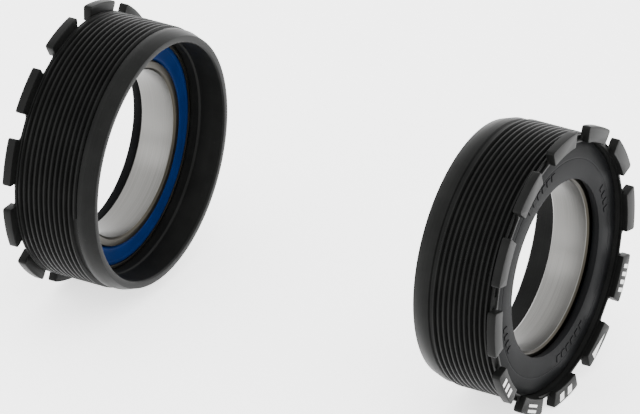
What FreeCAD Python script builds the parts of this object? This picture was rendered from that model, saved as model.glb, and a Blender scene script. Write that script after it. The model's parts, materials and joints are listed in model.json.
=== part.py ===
import FreeCAD, Part
import math
import os
import re
import Sketcher

# Bottom bracket: two threaded cups, each with a thin-section ball bearing and a dust cover.
#
# The spindle axis is the row's Y axis. The drive-side cup is at -Y and the other at +Y, and
# the origin is midway between the faces of the two lug rings that seat on the frame's shell.
# Every body is drawn about its own Y axis with +Y pointing outboard, away from the frame.
# In a cup's frame y = 0 is the seating face, so everything inside the shell has negative y.
# In a bearing part's frame y = 0 is the middle of the bearing.

SIZES = [
    ("seat_spacing", 93.4, "between the two seating faces, as stored"),
    # cup
    ("thread_radius", 23.5, "crest of the M47 x 1 thread"),
    ("thread_pitch", 1.0, "one turn"),
    ("thread_depth", 0.6, "crest to root"),
    ("thread_mouth", 0.74, "width of the groove at the crest"),
    ("thread_floor", 0.08, "width of the groove at its root"),
    ("thread_length", 12.3, "seating face to the end of the thread"),
    ("thread_runout", 0.7, "seating face to the middle of the last groove"),
    ("thread_lead", 0.25, "chamfer at the start of the thread"),
    ("thread_overcut", 0.1, "thread cutter outside the crest"),
    ("cup_reach", 15.5, "seating face to the inboard rim"),
    ("land_radius", 23.25, "plain land inboard of the thread"),
    ("lead_length", 2.0, "cone that guides the cup into the shell"),
    ("rim_radius", 22.6, "outer edge of the rim's end face"),
    ("rim_chamfer", 0.25, "inner edge of the rim"),
    ("entry_radius", 21.3, "bore the bearing is pushed in through"),
    ("entry_step", 0.3, "chamfer down to the bearing seat"),
    ("seat_radius", 21.01, "bearing seat"),
    ("seat_depth", 10.5, "seating face to the inboard end of the bearing seat"),
    ("shoulder_radius", 19.6, "bore of the shoulder the bearing stops at"),
    ("shoulder_depth", 2.15, "seating face to the shoulder"),
    ("recess_radius", 22.4, "recess that takes the dust cover"),
    ("recess_depth", 1.4, "seating face to the recess floor"),
    ("recess_chamfer", 0.35, "mouth of the recess"),
    ("lug_radius", 25.2, "outside of the lugs"),
    ("lug_thickness", 1.6, "lug ring, along the axis"),
    ("lug_chamfer", 0.2, "outer edge of the lugs"),
    ("lug_count", 12, "lugs, and notches between them"),
    ("notch_width", 4.5, "straight-sided notch for the spanner"),
    ("notch_floor_radius", 22.8, "floor of the notch"),
    ("notch_corner", 0.8, "radius in the floor corners of the notch"),
    ("notch_rim", 0.5, "seating face to the rim the notches leave round the recess"),
    ("notch_overrun", 0.5, "notch cutter past the lug ring"),
    ("notch_turn_drive", 13.2, "degrees, first notch from +Z towards +X"),
    ("notch_turn_other", 30.6, "degrees, first notch from +Z towards +X"),
    # dust cover
    ("cover_radius", 22.1, "outside of the cover"),
    ("cover_face", -0.4, "front face, from the seating face"),
    ("cover_face_radius", 19.4, "edge of the flat front face"),
    ("cover_edge_drop", 0.35, "fall of the cone from the face to the outside"),
    ("cover_gap", 0.05, "cover's back above the recess floor"),
    ("cover_bore_front", 15.6, "lip bore at the front face"),
    ("cover_bore_back", 15.95, "lip bore at its inboard end"),
    ("lip_thickness", 0.75, "lip around the bore"),
    ("lip_end_gap", 0.3, "lip clear of the bearing's inner ring"),
    ("spigot_radius", 19.58, "ring on the back that snaps into the shoulder"),
    ("spigot_thickness", 0.7, "wall of that ring"),
    ("spigot_gap", 0.15, "ring clear of the bearing"),
    # bearing, 30 x 42 x 7
    ("bearing_bore", 15.0, "inner ring bore"),
    ("bearing_outer", 21.0, "outer ring outside"),
    ("bearing_width", 7.0, "both rings"),
    ("ring_chamfer", 0.4, "edges of the rings"),
    ("inner_land", 16.95, "inner ring outside, beside the race"),
    ("inner_seal_land", 16.55, "inner ring outside, under the seal lip"),
    ("outer_land", 19.05, "outer ring inside, beside the race"),
    ("outer_seal_groove", 20.1, "outer ring inside, where the seal snaps in"),
    ("seal_zone", 1.1, "depth of the seal's place from each ring face"),
    ("pitch_radius", 18.0, "ball centres"),
    ("ball_radius", 1.5875, "3.175 mm balls"),
    ("race_radius", 1.65, "groove in both rings"),
    ("ball_count", 22, "balls"),
    # ball cage, two pressed halves riveted together
    ("cage_inner", 17.3, "inside of the cage"),
    ("cage_outer", 18.7, "outside of the cage"),
    ("cage_sheet", 0.3, "sheet thickness"),
    ("pocket_radius", 1.63, "inside of a pocket"),
    ("cage_trim", 2.5, "reach of the cuts that trim the domes to the band"),
    ("rivet_radius", 0.25, "rivet shank"),
    ("rivet_hole", 0.26, "radius of the rivet's hole in each cage half"),
    ("rivet_head_radius", 0.42, "rivet head"),
    ("rivet_head_height", 0.2, "rivet head, beyond the sheet"),
    ("rivet_gap", 0.6, "radius of the cut that parts the two heads"),
    # seals, rubber moulded on a steel insert
    ("seal_inner", 16.75, "tip of the seal lip"),
    ("seal_face_inner", 17.1, "inner edge of the seal's flat face"),
    ("seal_lip", 0.2, "thickness of the lip's tip"),
    ("seal_outer", 20.05, "bead in the outer ring's groove"),
    ("seal_recess", 0.25, "seal's face below the ring faces"),
    ("seal_thickness", 0.6, "rubber, at its beads"),
    ("seal_skin", 0.3, "rubber over the insert"),
    ("insert_inner", 17.4, "insert's hole"),
    ("insert_outer", 19.7, "insert's outside"),
    ("insert_thickness", 0.28, "steel sheet"),
    ("insert_gap", 0.01, "insert in its pocket"),
]

# Each side: its name, the turn that points the body's +Y outboard, and its thread's hand.
SIDES = [
    ("drive", -1, True),
    ("non_drive", 1, False),
]

# The two ends of a bearing: 1 faces outboard and -1 inboard.
END_NAMES = {1: "outboard", -1: "inboard"}

# Middle of the bearing from the seating face, and the first rivet, midway between two balls.
BEARING_MIDDLE = "0 - shoulder_depth - bearing_width / 2"
RIVET_X = "pitch_radius * cos(180 / ball_count)"
RIVET_Z = "pitch_radius * sin(180 / ball_count)"

doc = FreeCAD.newDocument("BottomBracket")
sheet = doc.addObject("Spreadsheet::Sheet", "Sizes")


def fill_sheet():
    for row, (alias, value, note) in enumerate(SIZES, start=1):
        sheet.set(f"A{row}", alias)
        sheet.set(f"B{row}", str(value))
        sheet.set(f"C{row}", note)
        sheet.setAlias(f"B{row}", alias)
    doc.recompute()


def bound(expression):
    """The expression with every alias pointed at the sheet."""
    aliases = {alias for alias, _, _ in SIZES}
    return re.sub("[a-z_]+", lambda word: f"Sizes.{word[0]}" if word[0] in aliases else word[0], expression)


def number(expression):
    return float(sheet.evalExpression(bound(expression)))


def new_body(label):
    body = doc.addObject("PartDesign::Body", label)
    body.Label = label
    return body


def origin_part(body, role):
    return next(item for item in body.Origin.OriginFeatures if item.Role == role)


def new_sketch(body, name, plane):
    sketch = body.newObject("Sketcher::SketchObject", name)
    sketch.AttachmentSupport = (origin_part(body, plane), [""])
    sketch.MapMode = "FlatFace"
    return sketch


def hold(sketch, expression, kind, *where):
    """A dimension whose value follows the sheet."""
    index = sketch.addConstraint(Sketcher.Constraint(kind, *where, number(expression)))
    sketch.setExpression(f"Constraints[{index}]", bound(expression))


def pin_point(sketch, curve, end, across, along):
    """Hold one point of a curve at sizes measured from the sketch's origin."""
    for kind, axis, expression in (("DistanceX", -2, across), ("DistanceY", -1, along)):
        if abs(number(expression)) < 1e-9:
            sketch.addConstraint(Sketcher.Constraint("PointOnObject", curve, end, axis))
        else:
            hold(sketch, expression, kind, -1, 1, curve, end)


def polygon(body, name, plane, corners):
    """A closed outline through corners given as (across, along) expressions."""
    sketch = new_sketch(body, name, plane)
    points = [FreeCAD.Vector(number(across), number(along), 0) for across, along in corners]
    count = len(points)
    for index in range(count):
        sketch.addGeometry(Part.LineSegment(points[index], points[(index + 1) % count]))
    for index in range(count):
        sketch.addConstraint(Sketcher.Constraint("Coincident", index, 2, (index + 1) % count, 1))
    for index, (across, along) in enumerate(corners):
        pin_point(sketch, index, 1, across, along)
    return sketch


def circle(body, name, plane, across, along, radius):
    sketch = new_sketch(body, name, plane)
    centre = FreeCAD.Vector(number(across), number(along), 0)
    sketch.addGeometry(Part.Circle(centre, FreeCAD.Vector(0, 0, 1), number(radius)))
    pin_point(sketch, 0, 3, across, along)
    hold(sketch, radius, "Radius", 0)
    return sketch


def turned(body, kind, name, sketch):
    """A full turn of the sketch about the body's own axis: kind is Revolution or Groove."""
    feature = body.newObject(f"PartDesign::{kind}", name)
    feature.Profile = sketch
    feature.ReferenceAxis = (sketch, ["V_Axis"])
    feature.Angle = 360
    sketch.Visibility = False
    body.Tip = feature
    return feature


def around(body, name, originals, count):
    pattern = body.newObject("PartDesign::PolarPattern", name)
    pattern.Originals = originals
    pattern.Axis = (origin_part(body, "Y_Axis"), [""])
    pattern.Angle = 360
    pattern.setExpression("Occurrences", bound(count))
    body.Tip = pattern
    return pattern


def place(body, outboard, offset="0", turn="0", facing=1):
    """Stand a body on its side of the bracket, offset outboard from that side's seating face.
    turn is about the axis, from +Z towards +X, and facing -1 turns the body end for end."""
    y = f"{outboard} * (seat_spacing / 2 + {offset})"
    flip = FreeCAD.Rotation(FreeCAD.Vector(1, 0, 0), 0 if facing > 0 else 180)
    side = FreeCAD.Rotation(FreeCAD.Vector(0, 0, 1), 0 if outboard > 0 else 180)
    roll = FreeCAD.Rotation(FreeCAD.Vector(0, 1, 0), number(turn))
    turned_round = roll.multiply(side).multiply(flip)
    body.Placement = FreeCAD.Placement(FreeCAD.Vector(0, number(y), 0), turned_round)
    body.setExpression("Placement.Base.y", bound(y))


def make_cup(side, outboard, left_hand):
    """Aluminium cup: thread, plain land and lead-in cone, lug ring, and the bored inside."""
    body = new_body(f"{side}_cup")
    outline = [
        ("entry_radius + rim_chamfer", "0 - cup_reach"),
        ("rim_radius", "0 - cup_reach"),
        ("land_radius", "lead_length - cup_reach"),
        ("land_radius", "0 - thread_length"),
        ("thread_radius", "thread_lead - thread_length"),
        ("thread_radius", "0"),
        ("lug_radius - lug_chamfer", "0"),
        ("lug_radius", "lug_chamfer"),
        ("lug_radius", "lug_thickness - lug_chamfer"),
        ("lug_radius - lug_chamfer", "lug_thickness"),
        ("recess_radius + recess_chamfer", "lug_thickness"),
        ("recess_radius", "lug_thickness - recess_chamfer"),
        ("recess_radius", "0 - recess_depth"),
        ("shoulder_radius", "0 - recess_depth"),
        ("shoulder_radius", "0 - shoulder_depth"),
        ("seat_radius", "0 - shoulder_depth"),
        ("seat_radius", "0 - seat_depth"),
        ("entry_radius", "0 - seat_depth - entry_step"),
        ("entry_radius", "rim_chamfer - cup_reach"),
    ]
    turned(body, "Revolution", "Shell", polygon(body, "ShellOutline", "XY_Plane", outline))
    doc.recompute()
    cut_notches(body)
    cut_thread(body, left_hand)
    place(body, outboard, turn="notch_turn_drive" if outboard < 0 else "notch_turn_other")
    return body


def notch_sketch(body):
    """A notch seen along the axis: straight sides, and a floor with rounded corners."""
    half = number("notch_width") / 2
    floor = number("notch_floor_radius")
    corner = number("notch_corner")
    top = number("lug_radius + notch_overrun")
    sketch = new_sketch(body, "NotchOutline", "XZ_Plane")
    up = FreeCAD.Vector(0, 0, 1)
    quarter = math.pi / 2
    right_corner = Part.Circle(FreeCAD.Vector(half - corner, floor + corner, 0), up, corner)
    left_corner = Part.Circle(FreeCAD.Vector(corner - half, floor + corner, 0), up, corner)

    def line(x1, y1, x2, y2):
        sketch.addGeometry(Part.LineSegment(FreeCAD.Vector(x1, y1, 0), FreeCAD.Vector(x2, y2, 0)))

    line(corner - half, floor, half - corner, floor)
    sketch.addGeometry(Part.ArcOfCircle(right_corner, -quarter, 0))
    line(half, floor + corner, half, top)
    line(half, top, -half, top)
    line(-half, top, -half, floor + corner)
    sketch.addGeometry(Part.ArcOfCircle(left_corner, 2 * quarter, 3 * quarter))
    # each curve's end (2) meets the next one's start (1); a floor corner meets its lines smoothly
    for curve, kind in enumerate(("Tangent", "Tangent", "Coincident", "Coincident", "Tangent", "Tangent")):
        sketch.addConstraint(Sketcher.Constraint(kind, curve, 2, (curve + 1) % 6, 1))
    sketch.addConstraint(Sketcher.Constraint("Equal", 1, 5))
    hold(sketch, "notch_corner", "Radius", 1)
    hold(sketch, "notch_floor_radius", "DistanceY", -1, 1, 0, 1)
    pin_point(sketch, 2, 2, "notch_width / 2", "lug_radius + notch_overrun")
    pin_point(sketch, 4, 1, "0 - notch_width / 2", "lug_radius + notch_overrun")
    return sketch


def cut_notches(body):
    """Spanner notches cut outboard from the seating face, right through the lug ring.
    Above its rim each notch is open to the recess, so the lugs stand apart."""
    notch = body.newObject("PartDesign::Pocket", "Notch")
    notch.Profile = notch_sketch(body)
    notch.setExpression("Length", bound("lug_thickness + notch_overrun"))
    body.Tip = notch
    doc.recompute()
    outline = [
        ("notch_rim", "recess_radius - notch_overrun"),
        ("notch_rim", "lug_radius + notch_overrun"),
        ("lug_thickness + notch_overrun", "lug_radius + notch_overrun"),
        ("lug_thickness + notch_overrun", "recess_radius - notch_overrun"),
    ]
    opening = body.newObject("PartDesign::Pocket", "NotchOpening")
    opening.Profile = polygon(body, "OpeningOutline", "YZ_Plane", outline)
    opening.Midplane = True
    opening.setExpression("Length", bound("notch_width"))
    body.Tip = opening
    doc.recompute()
    around(body, "Notches", [notch, opening], "lug_count")
    doc.recompute()


def cut_thread(body, left_hand):
    """The thread's groove, cut as one helix from beside the lugs out into the land."""
    crest = "thread_radius + thread_overcut"
    root = "thread_radius - thread_depth"
    flank = "thread_mouth / 2 + thread_overcut * (thread_mouth - thread_floor) / 2 / thread_depth"
    outline = [
        (crest, f"0 - thread_runout - ({flank})"),
        (crest, f"0 - thread_runout + {flank}"),
        (root, "0 - thread_runout + thread_floor / 2"),
        (root, "0 - thread_runout - thread_floor / 2"),
    ]
    sketch = polygon(body, "ThreadOutline", "XY_Plane", outline)
    helix = body.newObject("PartDesign::SubtractiveHelix", "Thread")
    helix.Profile = sketch
    helix.ReferenceAxis = (sketch, ["V_Axis"])
    helix.Mode = "pitch-height-angle"
    helix.setExpression("Pitch", bound("thread_pitch"))
    helix.setExpression("Height", bound("thread_length - thread_runout"))
    helix.Reversed = True
    helix.LeftHanded = left_hand
    body.Tip = helix
    doc.recompute()


def make_cover(side, outboard):
    """Moulded dust cover: flat face, conical edge, spindle lip and a ring that snaps in behind."""
    body = new_body(f"{side}_dust_cover")
    face = "cover_face"
    back = "cover_gap - recess_depth"
    outline = [
        ("cover_bore_front", face),
        ("cover_face_radius", face),
        ("cover_radius", "cover_face - cover_edge_drop"),
        ("cover_radius", back),
        ("spigot_radius", back),
        ("spigot_radius", "spigot_gap - shoulder_depth"),
        ("spigot_radius - spigot_thickness", "spigot_gap - shoulder_depth"),
        ("spigot_radius - spigot_thickness", back),
        ("cover_bore_back + lip_thickness", back),
        ("cover_bore_back + lip_thickness", "lip_end_gap - shoulder_depth"),
        ("cover_bore_back", "lip_end_gap - shoulder_depth"),
    ]
    turned(body, "Revolution", "Cover", polygon(body, "CoverOutline", "XY_Plane", outline))
    place(body, outboard)
    return body


def cut_race(body):
    """The ball groove round a bearing ring."""
    outline = circle(body, "RaceCircle", "XY_Plane", "pitch_radius", "0", "race_radius")
    turned(body, "Groove", "Race", outline)


def make_outer_ring(side, outboard):
    """Outer ring with its ball race and a step at each face for the seal."""
    body = new_body(f"{side}_bearing_outer_ring")
    half = "bearing_width / 2"
    outline = [
        ("outer_seal_groove", "0 - bearing_width / 2"),
        ("bearing_outer - ring_chamfer", "0 - bearing_width / 2"),
        ("bearing_outer", "ring_chamfer - bearing_width / 2"),
        ("bearing_outer", "bearing_width / 2 - ring_chamfer"),
        ("bearing_outer - ring_chamfer", half),
        ("outer_seal_groove", half),
        ("outer_seal_groove", "bearing_width / 2 - seal_zone"),
        ("outer_land", "bearing_width / 2 - seal_zone"),
        ("outer_land", "seal_zone - bearing_width / 2"),
        ("outer_seal_groove", "seal_zone - bearing_width / 2"),
    ]
    turned(body, "Revolution", "Ring", polygon(body, "RingOutline", "XY_Plane", outline))
    cut_race(body)
    place(body, outboard, BEARING_MIDDLE)
    return body


def make_inner_ring(side, outboard):
    """Inner ring, bored for the spindle, with its ball race and a step under each seal lip."""
    body = new_body(f"{side}_bearing_inner_ring")
    half = "bearing_width / 2"
    outline = [
        ("bearing_bore", "ring_chamfer - bearing_width / 2"),
        ("bearing_bore + ring_chamfer", "0 - bearing_width / 2"),
        ("inner_seal_land", "0 - bearing_width / 2"),
        ("inner_seal_land", "seal_zone - bearing_width / 2"),
        ("inner_land", "seal_zone - bearing_width / 2"),
        ("inner_land", "bearing_width / 2 - seal_zone"),
        ("inner_seal_land", "bearing_width / 2 - seal_zone"),
        ("inner_seal_land", half),
        ("bearing_bore + ring_chamfer", half),
        ("bearing_bore", "bearing_width / 2 - ring_chamfer"),
    ]
    turned(body, "Revolution", "Ring", polygon(body, "RingOutline", "XY_Plane", outline))
    cut_race(body)
    place(body, outboard, BEARING_MIDDLE)
    return body


def sphere(body, kind, name, radius):
    """A ball centred on the pitch circle, at +X: kind is Additive or Subtractive."""
    ball = body.newObject(f"PartDesign::{kind}Sphere", name)
    ball.setExpression("Radius", bound(radius))
    ball.AttachmentSupport = (origin_part(body, "XY_Plane"), [""])
    ball.MapMode = "FlatFace"
    ball.setExpression("AttachmentOffset.Base.x", bound("pitch_radius"))
    body.Tip = ball
    return ball


def make_balls(side, outboard):
    body = new_body(f"{side}_bearing_balls")
    body.AllowCompound = True
    ball = sphere(body, "Additive", "Ball", "ball_radius")
    doc.recompute()
    around(body, "Balls", [ball], "ball_count")
    place(body, outboard, BEARING_MIDDLE)
    return body


def make_cage_half(side, outboard, facing):
    """One pressed half of the ball cage: a flat ring with a domed pocket over every ball.
    facing is 1 for the outboard half and -1 for the inboard half, on the balls' other side."""
    body = new_body(f"{side}_{END_NAMES[facing]}_cage_half")
    sheet_side = f"{facing} * cage_sheet"
    band = [
        ("cage_inner", "0"),
        ("cage_outer", "0"),
        ("cage_outer", sheet_side),
        ("cage_inner", sheet_side),
    ]
    turned(body, "Revolution", "Band", polygon(body, "BandOutline", "XY_Plane", band))
    dome = sphere(body, "Additive", "Dome", "pocket_radius + cage_sheet")
    doc.recompute()
    around(body, "Domes", [dome], "ball_count")
    doc.recompute()
    pocket = sphere(body, "Subtractive", "Pocket", "pocket_radius")
    doc.recompute()
    around(body, "Pockets", [pocket], "ball_count")
    doc.recompute()
    trims = (
        ("Underside", "cage_inner - cage_trim", "cage_outer + cage_trim", f"{-facing} * cage_trim", "0"),
        ("Inside", "cage_inner - cage_trim", "cage_inner", "0 - cage_trim", "cage_trim"),
        ("Outside", "cage_outer", "cage_outer + cage_trim", "0 - cage_trim", "cage_trim"),
    )
    for name, near, far, low, high in trims:
        outline = [(near, low), (far, low), (far, high), (near, high)]
        turned(body, "Groove", name, polygon(body, f"{name}Outline", "XY_Plane", outline))
        doc.recompute()
    hole = body.newObject("PartDesign::Pocket", "RivetHole")
    hole.Profile = circle(body, "RivetHoleCircle", "XZ_Plane", RIVET_X, RIVET_Z, "rivet_hole")
    hole.setExpression("Length", bound("cage_sheet * 2"))
    hole.Midplane = True
    body.Tip = hole
    doc.recompute()
    around(body, "RivetHoles", [hole], "ball_count")
    place(body, outboard, BEARING_MIDDLE)
    return body


def make_rivets(side, outboard):
    """A rivet between every two balls, headed on both halves of the cage."""
    body = new_body(f"{side}_cage_rivets")
    body.AllowCompound = True
    # a blank as thick as the heads, parted where the sheets lie, and joined again by the shank
    steps = (
        ("Heads", "Pad", "rivet_head_radius", "(cage_sheet + rivet_head_height) * 2"),
        ("SheetGap", "Pocket", "rivet_gap", "cage_sheet * 2"),
        ("Shank", "Pad", "rivet_radius", "cage_sheet * 2"),
    )
    features = []
    for name, kind, radius, length in steps:
        feature = body.newObject(f"PartDesign::{kind}", name)
        feature.Profile = circle(body, f"{name}Circle", "XZ_Plane", RIVET_X, RIVET_Z, radius)
        feature.setExpression("Length", bound(length))
        feature.Midplane = True
        body.Tip = feature
        doc.recompute()
        features.append(feature)
    around(body, "Rivets", features, "ball_count")
    place(body, outboard, BEARING_MIDDLE)
    return body


def make_seal(side, outboard, facing):
    """Rubber seal in one end of the bearing: a bead, a skin over the insert, and a lip."""
    body = new_body(f"{side}_{END_NAMES[facing]}_seal")
    face = "bearing_width / 2 - seal_recess"
    inner_side = "bearing_width / 2 - seal_recess - seal_thickness"
    under_skin = "bearing_width / 2 - seal_recess - seal_skin"
    outline = [
        ("seal_inner", inner_side),
        ("insert_inner - insert_gap", inner_side),
        ("insert_inner - insert_gap", under_skin),
        ("insert_outer + insert_gap", under_skin),
        ("insert_outer + insert_gap", inner_side),
        ("seal_outer", inner_side),
        ("seal_outer", face),
        ("seal_face_inner", face),
        ("seal_inner", f"{inner_side} + seal_lip"),
    ]
    turned(body, "Revolution", "Seal", polygon(body, "SealOutline", "XY_Plane", outline))
    place(body, outboard, BEARING_MIDDLE, facing=facing)
    return body


def make_insert(side, outboard, facing):
    """Steel washer that stiffens a seal."""
    body = new_body(f"{side}_{END_NAMES[facing]}_seal_insert")
    high = "bearing_width / 2 - seal_recess - seal_skin - insert_gap"
    low = f"{high} - insert_thickness"
    outline = [
        ("insert_inner", low),
        ("insert_outer", low),
        ("insert_outer", high),
        ("insert_inner", high),
    ]
    turned(body, "Revolution", "Insert", polygon(body, "InsertOutline", "XY_Plane", outline))
    place(body, outboard, BEARING_MIDDLE, facing=facing)
    return body


def make_side(side, outboard, left_hand):
    """All the pieces of one cup, in the order they go together."""
    pieces = [
        make_cup(side, outboard, left_hand),
        make_cover(side, outboard),
        make_outer_ring(side, outboard),
        make_inner_ring(side, outboard),
        make_balls(side, outboard),
        make_rivets(side, outboard),
    ]
    for facing in END_NAMES:
        pieces.append(make_cage_half(side, outboard, facing))
        pieces.append(make_seal(side, outboard, facing))
        pieces.append(make_insert(side, outboard, facing))
    return pieces


def check(pieces):
    """Stop if any object failed, or a piece isn't a good solid, before anything is written."""
    for item in doc.Objects:
        if "Invalid" in item.State or "Error" in item.State:
            raise RuntimeError(f"{item.Label} failed: {item.State}")
    for piece in pieces:
        shape = piece.Shape
        if shape.isNull() or not shape.isValid() or not shape.Solids:
            raise RuntimeError(f"{piece.Label} is not a valid solid")
        print(f"{piece.Label}: {len(shape.Solids)} solids, {shape.Volume:.1f} mm3")


fill_sheet()
all_pieces = [piece for side in SIDES for piece in make_side(*side)]
doc.recompute()
check(all_pieces)
os.makedirs("parts", exist_ok=True)
for finished in all_pieces:
    finished.Shape.exportStep(f"parts/{finished.Label}.step")
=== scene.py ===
import json
import math
import bmesh
import bpy
from mathutils import Matrix, Vector


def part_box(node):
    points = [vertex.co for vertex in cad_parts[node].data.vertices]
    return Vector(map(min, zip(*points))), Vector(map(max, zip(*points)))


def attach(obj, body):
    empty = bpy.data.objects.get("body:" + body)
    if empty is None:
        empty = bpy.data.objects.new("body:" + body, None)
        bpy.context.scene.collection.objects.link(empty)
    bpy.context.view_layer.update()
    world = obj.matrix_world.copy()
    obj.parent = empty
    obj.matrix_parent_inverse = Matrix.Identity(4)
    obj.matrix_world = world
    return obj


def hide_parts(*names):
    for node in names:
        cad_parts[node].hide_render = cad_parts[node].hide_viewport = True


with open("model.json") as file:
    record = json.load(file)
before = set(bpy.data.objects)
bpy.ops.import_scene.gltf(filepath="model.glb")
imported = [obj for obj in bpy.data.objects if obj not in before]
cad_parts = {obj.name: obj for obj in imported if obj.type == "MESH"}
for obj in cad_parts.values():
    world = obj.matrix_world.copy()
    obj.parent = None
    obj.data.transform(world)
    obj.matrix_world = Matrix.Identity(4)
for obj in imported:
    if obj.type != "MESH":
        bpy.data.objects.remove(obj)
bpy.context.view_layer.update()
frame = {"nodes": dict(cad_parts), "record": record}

# A threaded bottom bracket: two anodised cups, each with a ball bearing, a blue seal and a cover.
#
# Sizes are in millimetres. Each piece is drawn about the Y axis in its cup's own frame, where y = 0
# is the face that seats on the frame's shell and +y points outboard. stand() then puts it on its
# side of the bracket, in metres.

MM = 0.001
AXIS = Vector((0, 1, 0))

TURN_STEPS = 192
# added or taken off so that two faces don't lie in one plane
CLEAR = 0.01

# cup
THREAD_CREST = 23.5
THREAD_ROOT = 22.9
THREAD_PITCH = 1.0
THREAD_FLOOR = 0.08
THREAD_CREST_WIDTH = 0.26
THREAD_LENGTH = 12.3
THREAD_RUNOUT = 0.7
THREAD_STEPS = 96
RIDGE_FOOT = 0.1
COLLAR = 0.3
COLLAR_SLOPE = 0.25
LAND_SLOPE = 0.2
CUP_REACH = 15.5
LAND = 23.25
LEAD_LENGTH = 2.0
RIM = 22.6
ENTRY = 21.3
ENTRY_CHAMFER = 0.25
SEAT = 21.01
SEAT_DEPTH = 10.5
SEAT_CHAMFER = 0.3
SHOULDER = 19.6
SHOULDER_DEPTH = 2.15
RECESS = 22.4
RECESS_DEPTH = 1.4
CUP_EDGE = 0.05
# lug ring
LUG_OUTSIDE = 25.2
LUG_THICKNESS = 1.6
LUG_COUNT = 12
NOTCH_WIDTH = 4.5
NOTCH_FLOOR = 22.8
NOTCH_CORNER = 0.8
NOTCH_RIM = 0.5
NOTCH_RING_BACK = 0.3
CORE_OVERLAP = 0.1
LUG_CORNER = 0.45
LUG_EDGE = 0.14
LUG_SPREAD = 0.0006
# printed and moulded marks
PLATE_DEPTH = 0.2
PRINT_RISE = 0.03
PRINT_LOW = 23.3
PRINT_HIGH = 24.75
COVER_MARK_RISE = 0.12
COVER_MARK_LOW = 17.5
COVER_MARK_HIGH = 18.7
# how many bars, the degrees between them and the width of one, for every other group
COVER_MARK_GROUPS = ((4, 5.0, 0.8), (6, 5.4, 1.1))
# degrees from +Z towards +X to the middle of the first group, in the cup's own frame
COVER_MARK_TURN = 108
# dust cover
COVER = 22.1
COVER_FACE = -0.4
COVER_FACE_EDGE = 19.4
COVER_DROP = 0.35
COVER_GROOVE = 0.3
COVER_GROOVE_DEPTH = 0.05
COVER_GAP = 0.05
COVER_EDGE = 0.06
COVER_BORE_FRONT = 15.6
COVER_BORE_BACK = 15.95
LIP = 0.75
LIP_SHORT = 0.3
SPIGOT = 19.58
SPIGOT_WALL = 0.7
SPIGOT_SHORT = 0.15
# bearing, 30 x 42 x 7
BORE = 15.0
BEARING_OUTSIDE = 21.0
BEARING_WIDTH = 7.0
RING_CHAMFER = 0.4
INNER_LAND = 16.95
INNER_SEAL_LAND = 16.55
OUTER_LAND = 19.05
SEAL_GROOVE = 20.1
SEAL_ZONE = 1.1
PITCH_RADIUS = 18.0
RACE = 1.65
RACE_STEPS = 12
OUTER_RING_EDGE = 0.05
INNER_RING_EDGE = 0.06
# seal
SEAL_INSIDE = 16.75
SEAL_FACE_INSIDE = 17.1
SEAL_OUTSIDE = 20.05
SEAL_RECESS = 0.25
SEAL_THICKNESS = 0.6
SEAL_LIP = 0.2
SEAL_EDGE = 0.03
DISH_INSIDE = 18.0
DISH_OUTSIDE = 19.4
DISH_DEPTH = 0.06
POCKET_INSIDE = 17.39
POCKET_OUTSIDE = 19.71
POCKET_FLOOR = 0.3

# which way is outboard along Y
SIDES = {"drive": -1, "non_drive": 1}
CUP_BOX = {side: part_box(f"{side}_cup") for side in SIDES}
# the first notch of each cup, from +Z towards +X
NOTCH_TURN = {"drive": math.radians(13.2), "non_drive": math.radians(30.6)}
LUG_PITCH = 2 * math.pi / LUG_COUNT
QUARTER = [math.pi / 2 * step / 5 for step in range(6)]
ARC_STEPS = 10


# ---- materials -------------------------------------------------------------------------------

# Each pair is the two colours that a pattern runs between. They are set for this bright studio.
ANODISING = ((0.0036, 0.0037, 0.0036, 1), (0.0070, 0.0072, 0.0069, 1))
RUBBED_ANODISING = (0.026, 0.026, 0.025, 1)
MOULDING = ((0.0024, 0.0026, 0.0028, 1), (0.0042, 0.0044, 0.0048, 1))
GROUND_STEEL = ((0.098, 0.0966, 0.0924, 1), (0.145, 0.143, 0.1375, 1))
UNGROUND_STEEL = (0.026, 0.0235, 0.0185, 1)
BALL_STEEL = ((0.6, 0.6, 0.6, 1), (0.75, 0.75, 0.75, 1))
CAGE_STEEL = ((0.38, 0.37, 0.35, 1), (0.5, 0.49, 0.47, 1))
INSERT_STEEL = ((0.33, 0.33, 0.33, 1), (0.45, 0.45, 0.45, 1))
SEAL_BLUE = ((0.0003, 0.0056, 0.031, 1), (0.0006, 0.0112, 0.060, 1))
PRINT_WHITE = ((0.52, 0.52, 0.51, 1), (0.30, 0.30, 0.295, 1))


class Wire:
    """A shader socket that can be used in an expression; each operator adds its Math node."""

    def __init__(self, tree, socket):
        self.tree = tree
        self.socket = socket

    def math(self, operation, *others):
        values = {index + 1: other for index, other in enumerate(others)}
        return add(self.tree, "ShaderNodeMath", {"operation": operation}, {0: self, **values})

    def __add__(self, other):
        return self.math("ADD", other)

    def __mul__(self, other):
        return self.math("MULTIPLY", other)

    __radd__ = __add__
    __rmul__ = __mul__


def add(tree, kind, settings=None, sockets=None, output=0):
    """A node of that kind: its settings, then the values or wires of its sockets."""
    node = tree.nodes.new(kind)
    for name, value in (settings or {}).items():
        setattr(node, name, value)
    for name, value in (sockets or {}).items():
        if isinstance(value, Wire):
            tree.links.new(value.socket, node.inputs[name])
        else:
            node.inputs[name].default_value = value
    return Wire(tree, node.outputs[output])


def noise(tree, vector, scale, detail=4.0, roughness=0.55):
    settings = {"noise_dimensions": "3D"}
    sockets = {"Vector": vector, "Scale": scale, "Detail": detail, "Roughness": roughness}
    return add(tree, "ShaderNodeTexNoise", settings, sockets)


def ramp(tree, value, low, high):
    """value taken from low..high to 0..1, and held there."""
    sockets = {"Value": value, "From Min": low, "From Max": high}
    return add(tree, "ShaderNodeMapRange", {"clamp": True}, sockets)


def mix(tree, factor, first, second):
    settings = {"data_type": "RGBA"}
    return add(tree, "ShaderNodeMix", settings, {0: factor, 6: first, 7: second}, 2)


def object_place(tree):
    return add(tree, "ShaderNodeTexCoord", output=3)


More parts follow.
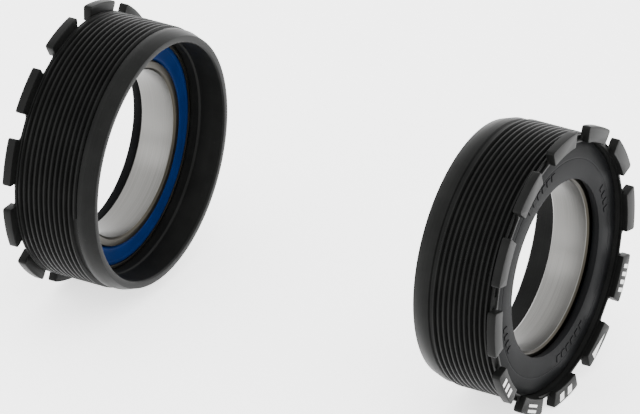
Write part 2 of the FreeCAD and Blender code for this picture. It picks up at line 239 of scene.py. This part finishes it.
def axis_place(tree):
    """x, y, z and the distance from the Y axis, in metres."""
    parts = tree.nodes.new("ShaderNodeSeparateXYZ")
    tree.links.new(object_place(tree).socket, parts.inputs[0])
    x, y, z = (Wire(tree, parts.outputs[index]) for index in range(3))
    return x, y, z, (x * x + z * z).math("SQRT")


def turning_lines(tree, across, along):
    """Fine noise that is drawn out round the Y axis, as a lathe leaves it.
    across is lines per metre over a face, and along is lines per metre along the axis."""
    x, y, z, radius = axis_place(tree)
    sockets = {"X": radius * across, "Y": y * along, "Z": x.math("ARCTAN2", z) * 0.6}
    return noise(tree, add(tree, "ShaderNodeCombineXYZ", None, sockets), 1.0, 3.0)


def new_material(name, **constants):
    """A material whose shader has those values, named with _ for a space in the socket's name."""
    material = bpy.data.materials.new(name)
    material.use_nodes = True
    tree = material.node_tree
    shader = tree.nodes["Principled BSDF"]
    for socket, value in constants.items():
        shader.inputs[socket.replace("_", " ")].default_value = value
    return material, tree, shader


def feed(tree, shader, socket, wire):
    tree.links.new(wire.socket, shader.inputs[socket])


def bump(tree, shader, height, strength, distance):
    """Relief from a height, over that distance in metres."""
    sockets = {"Height": height, "Strength": strength, "Distance": distance}
    feed(tree, shader, "Normal", add(tree, "ShaderNodeBump", None, sockets))


def anodised_aluminium():
    """Satin black anodising over turned aluminium, thin and grey where handling has rubbed it."""
    material, tree, shader = new_material("black_anodised_aluminium", Metallic=0.35,
                                          Specular_IOR_Level=0.055)
    lines = turning_lines(tree, 9000, 7000)
    cloud = noise(tree, object_place(tree), 220)
    handled = ramp(tree, noise(tree, object_place(tree), 900, 6.0, 0.7), 0.62, 0.8)
    tone = ramp(tree, cloud * 0.6 + lines * 0.4, 0.3, 0.7)
    colour = mix(tree, tone, *ANODISING)
    feed(tree, shader, "Base Color", mix(tree, handled * 0.35, colour, RUBBED_ANODISING))
    feed(tree, shader, "Roughness", 0.34 + lines * 0.16 + cloud * 0.06)
    bump(tree, shader, lines, 0.12, 0.00003)
    return material


def moulded_plastic():
    """Matt black moulding with a fine spark-eroded grain."""
    material, tree, shader = new_material("moulded_black_plastic", Specular_IOR_Level=0.035)
    grain = noise(tree, object_place(tree), 6500, 2.0)
    cloud = noise(tree, object_place(tree), 160)
    feed(tree, shader, "Base Color", mix(tree, ramp(tree, cloud, 0.35, 0.65), *MOULDING))
    feed(tree, shader, "Roughness", 0.42 + grain * 0.16)
    bump(tree, shader, grain, 0.16, 0.00002)
    return material


def ground_steel():
    """Bearing steel: the bore is ground bright, and the chamfers and faces are left dark."""
    material, tree, shader = new_material("bearing_steel", Metallic=1.0)
    lines = turning_lines(tree, 16000, 16000)
    cloud = noise(tree, object_place(tree), 260)
    colour = mix(tree, ramp(tree, lines, 0.3, 0.7), *GROUND_STEEL)
    radius = axis_place(tree)[3]
    unground = ramp(tree, radius, (BORE + 0.02) * MM, (BORE + 0.1) * MM)
    feed(tree, shader, "Base Color", mix(tree, unground, colour, UNGROUND_STEEL))
    feed(tree, shader, "Roughness", 0.22 + lines * 0.14 + cloud * 0.08)
    bump(tree, shader, lines, 0.10, 0.00001)
    return material


def polished_steel():
    material, tree, shader = new_material("polished_steel", Metallic=1.0)
    cloud = noise(tree, object_place(tree), 1400)
    feed(tree, shader, "Base Color", mix(tree, cloud, *BALL_STEEL))
    feed(tree, shader, "Roughness", 0.05 + cloud * 0.08)
    return material


def pressed_steel(name, colours):
    """Sheet steel as it leaves the press, with rolling streaks."""
    material, tree, shader = new_material(name, Metallic=1.0)
    streaks = noise(tree, object_place(tree), 1800, 5.0)
    feed(tree, shader, "Base Color", mix(tree, ramp(tree, streaks, 0.35, 0.65), *colours))
    feed(tree, shader, "Roughness", 0.28 + streaks * 0.2)
    bump(tree, shader, streaks, 0.08, 0.00001)
    return material


def seal_rubber():
    """Blue moulded rubber, faintly mottled."""
    material, tree, shader = new_material("blue_seal_rubber", Specular_IOR_Level=0.035)
    mottle = noise(tree, object_place(tree), 3200, 3.0)
    cloud = noise(tree, object_place(tree), 240)
    tone = ramp(tree, mottle * 0.5 + cloud * 0.5, 0.3, 0.7)
    feed(tree, shader, "Base Color", mix(tree, tone, *SEAL_BLUE))
    feed(tree, shader, "Roughness", 0.4 + mottle * 0.2)
    bump(tree, shader, mottle, 0.15, 0.00002)
    return material


def print_ink():
    """White pad-printed ink, a little thin in places."""
    material, tree, shader = new_material("white_print")
    worn = noise(tree, object_place(tree), 4200, 5.0, 0.7)
    feed(tree, shader, "Base Color", mix(tree, ramp(tree, worn, 0.56, 0.8), *PRINT_WHITE))
    feed(tree, shader, "Roughness", 0.45 + worn * 0.15)
    return material


MATERIALS = {
    "black_anodised_aluminium": anodised_aluminium(),
    "moulded_black_plastic": moulded_plastic(),
    "bearing_steel": ground_steel(),
    "polished_steel": polished_steel(),
    "cage_steel": pressed_steel("cage_steel", CAGE_STEEL),
    "seal_insert_steel": pressed_steel("seal_insert_steel", INSERT_STEEL),
    "blue_seal_rubber": seal_rubber(),
    "white_print": print_ink(),
}


# ---- mesh tools ------------------------------------------------------------------------------

def closed_edges(mesh, places):
    """Places joined in order, and the last to the first."""
    verts = [mesh.verts.new(place) for place in places]
    for index, vert in enumerate(verts):
        mesh.edges.new((vert, verts[(index + 1) % len(verts)]))
    return verts


def turned(points, rounding, segments=2):
    """An outline of (radius, y) points spun once round the Y axis, with its hard edges rounded."""
    mesh = bmesh.new()
    closed_edges(mesh, [(radius, y, 0) for radius, y in points])
    geometry = mesh.verts[:] + mesh.edges[:]
    bmesh.ops.spin(mesh, geom=geometry, cent=(0, 0, 0), axis=AXIS, dvec=(0, 0, 0),
                   angle=2 * math.pi, steps=TURN_STEPS, use_merge=True, use_duplicate=False)
    bmesh.ops.remove_doubles(mesh, verts=mesh.verts, dist=1e-5)
    bmesh.ops.recalc_face_normals(mesh, faces=mesh.faces)
    soften(mesh, rounding, segments)
    return mesh


def soften(mesh, width, segments=2, angle=25):
    """Bevel every edge that turns by more than angle degrees."""
    limit = math.radians(angle)
    hard = [edge for edge in mesh.edges if len(edge.link_faces) == 2 and edge.calc_face_angle() > limit]
    bmesh.ops.bevel(mesh, geom=hard, offset=width, offset_type="OFFSET", affect="EDGES",
                    segments=segments, profile=0.5, material=-1, clamp_overlap=True)


def join(target, other):
    """Add a copy of other to target, and free other."""
    holder = bpy.data.meshes.new("holder")
    other.to_mesh(holder)
    other.free()
    target.from_mesh(holder)
    bpy.data.meshes.remove(holder)


def stand(mesh, side, turn=0.0):
    """Turn a piece about the axis, from +Z towards +X, and stand it on its side of the bracket."""
    low, high = CUP_BOX[side]
    outboard = SIDES[side]
    edge = (high.y if outboard > 0 else low.y) / MM
    seat = edge - outboard * LUG_THICKNESS
    spin = Matrix.Rotation(turn, 4, "Y")
    flip = Matrix.Rotation(math.pi if outboard < 0 else 0.0, 4, "Z")
    move = Matrix.Translation((0, seat, 0))
    bmesh.ops.transform(mesh, matrix=Matrix.Scale(MM, 4) @ move @ spin @ flip, verts=mesh.verts)


def finish_piece(mesh, name, body, slot, replaced=(), smooth=30):
    """The mesh as a piece of the scene that rides on that body, in place of the replaced nodes."""
    data = bpy.data.meshes.new(name)
    mesh.to_mesh(data)
    mesh.free()
    for polygon in data.polygons:
        polygon.use_smooth = True
    data.set_sharp_from_angle(angle=math.radians(smooth))
    data.materials.append(MATERIALS[slot])
    piece = bpy.data.objects.new(name, data)
    bpy.context.scene.collection.objects.link(piece)
    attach(piece, body)
    if replaced:
        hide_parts(*replaced)


# ---- cup -------------------------------------------------------------------------------------

def cup_core():
    """The turned cup inboard of its lug ring, cut back to the thread's root."""
    return turned([
        (ENTRY + ENTRY_CHAMFER, -CUP_REACH),
        (RIM, -CUP_REACH),
        (LAND, LEAD_LENGTH - CUP_REACH),
        (LAND, -THREAD_LENGTH),
        (THREAD_ROOT, -THREAD_LENGTH + LAND_SLOPE),
        (THREAD_ROOT, -COLLAR - COLLAR_SLOPE),
        (THREAD_CREST, -COLLAR),
        (THREAD_CREST, 0),
        (NOTCH_FLOOR - CORE_OVERLAP, 0),
        (NOTCH_FLOOR - CORE_OVERLAP, CORE_OVERLAP),
        (RECESS, CORE_OVERLAP),
        (RECESS, -RECESS_DEPTH),
        (SHOULDER, -RECESS_DEPTH),
        (SHOULDER, -SHOULDER_DEPTH),
        (SEAT, -SHOULDER_DEPTH),
        (SEAT, -SEAT_DEPTH),
        (ENTRY, -SEAT_DEPTH - SEAT_CHAMFER),
        (ENTRY, ENTRY_CHAMFER - CUP_REACH),
    ], CUP_EDGE)


def thread_ridge(left_hand):
    """One continuous thread ridge, from beside the lugs to the plain land."""
    base = (THREAD_PITCH - THREAD_FLOOR) / 2
    crest = THREAD_CREST_WIDTH / 2
    start = THREAD_PITCH / 2 - THREAD_RUNOUT
    steps = int((THREAD_LENGTH - THREAD_RUNOUT) / THREAD_PITCH * THREAD_STEPS)
    mesh = bmesh.new()
    verts = closed_edges(mesh, [
        (THREAD_ROOT - RIDGE_FOOT, start - base, 0),
        (THREAD_CREST, start - crest, 0),
        (THREAD_CREST, start + crest, 0),
        (THREAD_ROOT - RIDGE_FOOT, start + base, 0),
    ])
    end = mesh.faces.new(verts)
    angle = 2 * math.pi * steps / THREAD_STEPS
    bmesh.ops.spin(mesh, geom=[end, *end.edges, *end.verts], cent=(0, 0, 0), axis=AXIS,
                   dvec=(0, -THREAD_PITCH / THREAD_STEPS, 0), angle=angle if left_hand else -angle,
                   steps=steps, use_duplicate=False)
    bmesh.ops.recalc_face_normals(mesh, faces=mesh.faces)
    return mesh


def lug_outline(foot, outside, spread=0.0):
    """One lug out to that radius, as (x, z) about its middle at +Z.
    foot gives the bottom of its side, about the notch's middle, and spread widens the lug."""
    half = NOTCH_WIDTH / 2
    corner_x = half + LUG_CORNER
    corner_z = math.sqrt(outside ** 2 - corner_x ** 2) - LUG_CORNER
    left = foot + [(corner_x - LUG_CORNER * math.cos(a), corner_z + LUG_CORNER * math.sin(a))
                   for a in QUARTER]
    left = [rotate(point, -LUG_PITCH / 2 - spread) for point in left]
    reach = LUG_PITCH / 2 + spread - math.asin(corner_x / outside)
    top = arc(outside, -reach, reach)
    return left + top + [(-x, z) for x, z in reversed(left)]


def arc(radius, start, end):
    """Points between two angles from +Z, without the ends."""
    angles = [start + (end - start) * step / ARC_STEPS for step in range(1, ARC_STEPS)]
    return [(radius * math.sin(angle), radius * math.cos(angle)) for angle in angles]


def rotate(point, angle):
    x, z = point
    return (x * math.cos(angle) + z * math.sin(angle), z * math.cos(angle) - x * math.sin(angle))


def raise_faces(mesh, height):
    """Every face of a flat mesh, thickened outboard into closed solids."""
    moved = bmesh.ops.extrude_face_region(mesh, geom=mesh.faces[:])
    raised = [item for item in moved["geom"] if isinstance(item, bmesh.types.BMVert)]
    bmesh.ops.translate(mesh, verts=raised, vec=(0, height, 0))
    bmesh.ops.recalc_face_normals(mesh, faces=mesh.faces)


def notch_ring():
    """The ring the lugs stand on: it ends at the low rim that is left at each notch's floor."""
    half = NOTCH_WIDTH / 2
    foot = [(half - NOTCH_CORNER + NOTCH_CORNER * math.sin(a),
             NOTCH_FLOOR + NOTCH_CORNER * (1 - math.cos(a))) for a in QUARTER]
    mesh = bmesh.new()
    outline = lug_outline(foot, LUG_OUTSIDE - NOTCH_RING_BACK)
    ring = []
    for lug in range(LUG_COUNT):
        ring += [rotate(point, LUG_PITCH * (lug + 0.5)) for point in outline]
    closed_edges(mesh, [(x, 0, z) for x, z in ring])
    bmesh.ops.create_circle(mesh, cap_ends=False, segments=TURN_STEPS, radius=RECESS,
                            matrix=Matrix.Rotation(math.pi / 2, 4, "X"))
    bmesh.ops.triangle_fill(mesh, use_beauty=True, use_dissolve=False, edges=mesh.edges[:])
    bmesh.ops.translate(mesh, verts=mesh.verts, vec=(0, CLEAR, 0))
    raise_faces(mesh, NOTCH_RIM - CLEAR)
    soften(mesh, CUP_EDGE, angle=50)
    return mesh


def lugs():
    """Twelve separate lugs, edges broken all round."""
    half = NOTCH_WIDTH / 2
    inside = RECESS + CLEAR
    outline = lug_outline([(half, math.sqrt(inside ** 2 - half ** 2))], LUG_OUTSIDE, LUG_SPREAD)
    reach = math.atan2(*outline[-1])
    outline += arc(inside, reach, -reach)
    mesh = bmesh.new()
    for lug in range(LUG_COUNT):
        turned_outline = [rotate(point, LUG_PITCH * (lug + 0.5)) for point in outline]
        mesh.faces.new([mesh.verts.new((x, 0, z)) for x, z in turned_outline])
    raise_faces(mesh, LUG_THICKNESS - PRINT_RISE)
    soften(mesh, LUG_EDGE, segments=3, angle=50)
    return mesh


def make_cup(side):
    core = cup_core()
    join(core, thread_ridge(side == "drive"))
    join(core, notch_ring())
    join(core, lugs())
    stand(core, side, NOTCH_TURN[side])
    finish_piece(core, f"{side}_turned_cup", f"{side}_cup_body", "black_anodised_aluminium",
                 [f"{side}_cup"], smooth=28)


# ---- cover -----------------------------------------------------------------------------------

def make_cover(side):
    back = COVER_GAP - RECESS_DEPTH
    mesh = turned([
        (COVER_BORE_FRONT, COVER_FACE),
        (COVER_FACE_EDGE - COVER_GROOVE, COVER_FACE),
        (COVER_FACE_EDGE - COVER_GROOVE * 0.8, COVER_FACE - COVER_GROOVE_DEPTH),
        (COVER_FACE_EDGE - COVER_GROOVE * 0.4, COVER_FACE - COVER_GROOVE_DEPTH),
        (COVER_FACE_EDGE, COVER_FACE),
        (COVER, COVER_FACE - COVER_DROP),
        (COVER, back),
        (SPIGOT, back),
        (SPIGOT, SPIGOT_SHORT - SHOULDER_DEPTH),
        (SPIGOT - SPIGOT_WALL, SPIGOT_SHORT - SHOULDER_DEPTH),
        (SPIGOT - SPIGOT_WALL, back),
        (COVER_BORE_BACK + LIP, back),
        (COVER_BORE_BACK + LIP, LIP_SHORT - SHOULDER_DEPTH),
        (COVER_BORE_BACK, LIP_SHORT - SHOULDER_DEPTH),
    ], COVER_EDGE)
    for quarter in range(4):
        count, pitch, width = COVER_MARK_GROUPS[quarter % 2]
        mark = bar(0, width, COVER_MARK_LOW, COVER_MARK_HIGH)
        for step in range(count):
            turn = COVER_MARK_TURN + quarter * 90 + (step - (count - 1) / 2) * pitch
            join(mesh, plate(mark, math.radians(turn), COVER_FACE + COVER_MARK_RISE))
    stand(mesh, side)
    finish_piece(mesh, f"{side}_moulded_cover", f"{side}_cup_body", "moulded_black_plastic",
                 [f"{side}_dust_cover"])


# ---- bearing ---------------------------------------------------------------------------------

MIDDLE = -SHOULDER_DEPTH - BEARING_WIDTH / 2


def race_points(first, inner):
    """The ball groove as an arc of (radius, y) points, from the land on the first side, 1 or -1."""
    land = INNER_LAND if inner else OUTER_LAND
    reach = math.acos(abs(PITCH_RADIUS - land) / RACE)
    side = -1 if inner else 1
    angles = [reach * (1 - 2 * step / RACE_STEPS) * first for step in range(RACE_STEPS + 1)]
    return [(PITCH_RADIUS + side * RACE * math.cos(a), MIDDLE + RACE * math.sin(a)) for a in angles]


def make_outer_ring(side):
    half = BEARING_WIDTH / 2
    mesh = turned([
        (SEAL_GROOVE, MIDDLE - half),
        (BEARING_OUTSIDE - RING_CHAMFER, MIDDLE - half),
        (BEARING_OUTSIDE, MIDDLE - half + RING_CHAMFER),
        (BEARING_OUTSIDE, MIDDLE + half - RING_CHAMFER),
        (BEARING_OUTSIDE - RING_CHAMFER, MIDDLE + half),
        (SEAL_GROOVE, MIDDLE + half),
        (SEAL_GROOVE, MIDDLE + half - SEAL_ZONE),
        (OUTER_LAND, MIDDLE + half - SEAL_ZONE),
        *race_points(1, False),
        (OUTER_LAND, MIDDLE - half + SEAL_ZONE),
        (SEAL_GROOVE, MIDDLE - half + SEAL_ZONE),
    ], OUTER_RING_EDGE)
    stand(mesh, side)
    finish_piece(mesh, f"{side}_outer_race", f"{side}_cup_body", "bearing_steel",
                 [f"{side}_bearing_outer_ring"])


def make_inner_ring(side):
    half = BEARING_WIDTH / 2
    mesh = turned([
        (BORE, MIDDLE - half + RING_CHAMFER),
        (BORE + RING_CHAMFER, MIDDLE - half),
        (INNER_SEAL_LAND, MIDDLE - half),
        (INNER_SEAL_LAND, MIDDLE - half + SEAL_ZONE),
        (INNER_LAND, MIDDLE - half + SEAL_ZONE),
        *race_points(-1, True),
        (INNER_LAND, MIDDLE + half - SEAL_ZONE),
        (INNER_SEAL_LAND, MIDDLE + half - SEAL_ZONE),
        (INNER_SEAL_LAND, MIDDLE + half),
        (BORE + RING_CHAMFER, MIDDLE + half),
        (BORE, MIDDLE + half - RING_CHAMFER),
    ], INNER_RING_EDGE, 3)
    stand(mesh, side)
    finish_piece(mesh, f"{side}_inner_race", f"{side}_inner_ring_body", "bearing_steel",
                 [f"{side}_bearing_inner_ring"])


def make_seal(side, end, facing):
    """Rubber seal, with a shallow dish round its face and a pocket for the insert behind it."""
    def at(depth):
        return MIDDLE + facing * (BEARING_WIDTH / 2 - SEAL_RECESS - depth)

    mesh = turned([
        (SEAL_INSIDE, at(SEAL_THICKNESS)),
        (POCKET_INSIDE, at(SEAL_THICKNESS)),
        (POCKET_INSIDE, at(POCKET_FLOOR)),
        (POCKET_OUTSIDE, at(POCKET_FLOOR)),
        (POCKET_OUTSIDE, at(SEAL_THICKNESS)),
        (SEAL_OUTSIDE, at(SEAL_THICKNESS)),
        (SEAL_OUTSIDE, at(0)),
        (DISH_OUTSIDE + 0.1, at(0)),
        (DISH_OUTSIDE, at(DISH_DEPTH)),
        (DISH_INSIDE, at(DISH_DEPTH)),
        (DISH_INSIDE - 0.4, at(0)),
        (SEAL_FACE_INSIDE, at(0)),
        (SEAL_INSIDE, at(SEAL_THICKNESS - SEAL_LIP)),
    ], SEAL_EDGE)
    stand(mesh, side)
    finish_piece(mesh, f"{side}_{end}_rubber_seal", f"{side}_cup_body", "blue_seal_rubber",
                 [f"{side}_{end}_seal"])


def dress_hidden_nodes():
    """Balls, cages, rivets and inserts stay as they are and take a better material."""
    slots = {row["node"]: row["material_slot"] for row in frame["record"]["subparts"]}
    for name, node in frame["nodes"].items():
        if node.hide_render:
            continue
        node.data.materials.clear()
        node.data.materials.append(MATERIALS[slots[name]])


# ---- marks -----------------------------------------------------------------------------------

def plate(corners, turn, face=LUG_THICKNESS):
    """A thin raised shape on an outboard face: (across, radius) corners about +Z."""
    mesh = bmesh.new()
    mesh.faces.new([mesh.verts.new((x, face - PLATE_DEPTH, z)) for x, z in corners])
    raise_faces(mesh, PLATE_DEPTH)
    bmesh.ops.rotate(mesh, cent=(0, 0, 0), matrix=Matrix.Rotation(turn, 3, "Y"), verts=mesh.verts)
    return mesh


def bar(across, width, low=PRINT_LOW, high=PRINT_HIGH):
    return [(across - width / 2, low), (across + width / 2, low),
            (across + width / 2, high), (across - width / 2, high)]


ARROW = [(-2.4, PRINT_LOW), (2.4, 24.0), (-2.4, PRINT_HIGH)]
LUG_MARKS = [
    [bar(-2.1, 0.7), bar(-0.7, 0.7), bar(0.7, 0.7), bar(2.1, 0.7)],
    [ARROW],
    [bar(-1.4, 1.4), bar(1.4, 1.4)],
    [bar(0, 3.2, high=23.75), bar(0, 3.2, low=24.25)],
    [bar(-1.6, 0.8), bar(0, 0.8), bar(1.6, 0.8)],
]
# lug pitches from the first notch to the middle of the first marked lug
FIRST_MARKED = 3.5


def make_prints():
    """Plain index bars and a turning arrow on five neighbouring lugs of the drive cup."""
    mesh = bmesh.new()
    for lug, shapes in enumerate(LUG_MARKS):
        for shape in shapes:
            join(mesh, plate(shape, -LUG_PITCH * lug))
    stand(mesh, "drive", NOTCH_TURN["drive"] + LUG_PITCH * FIRST_MARKED)
    finish_piece(mesh, "drive_printed_marks", "drive_cup_body", "white_print")


# ---- studio ----------------------------------------------------------------------------------

FLOOR_Z = -LUG_OUTSIDE * MM
AZIMUTH = math.radians(299.7)
ELEVATION = math.radians(28.2)
LENS = 450.0
CAMERA_REACH = Vector((39.9, -10.4, 1354.4)) * MM
SENSOR = 36.0
FLOOR_SIZE = 3.0
WORLD_STRENGTH = 3.1
# place and size in metres, and power in watts
LIGHTS = {
    "key": ((-0.5, -0.4, 0.9), 0.7, 2.5),
    "fill": ((-0.9, 0.5, 0.4), 0.6, 1.9),
    "rim": ((0.6, -0.7, 0.5), 0.6, 1.9),
}


def make_floor():
    mesh = bmesh.new()
    bmesh.ops.create_grid(mesh, x_segments=1, y_segments=1, size=FLOOR_SIZE)
    bmesh.ops.translate(mesh, verts=mesh.verts, vec=(0, 0, FLOOR_Z))
    data = bpy.data.meshes.new("pale_floor")
    mesh.to_mesh(data)
    mesh.free()
    floor = bpy.data.objects.new("pale_floor", data)
    material, _, _ = new_material("pale_floor", Base_Color=(0.93, 0.93, 0.93, 1), Roughness=0.6,
                                  Emission_Color=(1, 1, 1, 1), Emission_Strength=1.6)
    data.materials.append(material)
    bpy.context.scene.collection.objects.link(floor)


def make_light(name, place, size, power):
    light = bpy.data.lights.new(name, "AREA")
    light.shape = "DISK"
    light.size = size
    light.energy = power
    item = bpy.data.objects.new(name, light)
    item.location = place
    item.rotation_euler = (-Vector(place)).to_track_quat("-Z", "Y").to_euler()
    bpy.context.scene.collection.objects.link(item)


def make_camera():
    """A long lens at the viewing angle; CAMERA_REACH is the drive cover's place as it sees it."""
    back = Vector((math.sin(AZIMUTH) * math.cos(ELEVATION),
                   -math.cos(AZIMUTH) * math.cos(ELEVATION), math.sin(ELEVATION)))
    right = Vector((math.cos(AZIMUTH), math.sin(AZIMUTH), 0))
    up = back.cross(right)
    data = bpy.data.cameras.new("camera")
    data.lens = LENS
    data.sensor_width = SENSOR
    data.clip_end = 20
    camera = bpy.data.objects.new("camera", data)
    cover = Vector((0, CUP_BOX["drive"][0].y + (LUG_THICKNESS - COVER_FACE) * MM, 0))
    place = cover - right * CAMERA_REACH.x - up * CAMERA_REACH.y + back * CAMERA_REACH.z
    turn = Matrix((right, up, back)).transposed().to_4x4()
    camera.matrix_world = Matrix.Translation(place) @ turn
    bpy.context.scene.collection.objects.link(camera)
    bpy.context.scene.camera = camera


def make_world():
    world = bpy.data.worlds.new("studio")
    world.use_nodes = True
    background = world.node_tree.nodes["Background"]
    background.inputs["Color"].default_value = (1, 1, 1, 1)
    background.inputs["Strength"].default_value = WORLD_STRENGTH
    bpy.context.scene.world = world


for side in SIDES:
    make_cup(side)
    make_cover(side)
    make_outer_ring(side)
    make_inner_ring(side)
    for end, facing in (("outboard", 1), ("inboard", -1)):
        make_seal(side, end, facing)
make_prints()
dress_hidden_nodes()
make_floor()
make_world()
for name, (place, size, power) in LIGHTS.items():
    make_light(name, place, size, power)
make_camera()
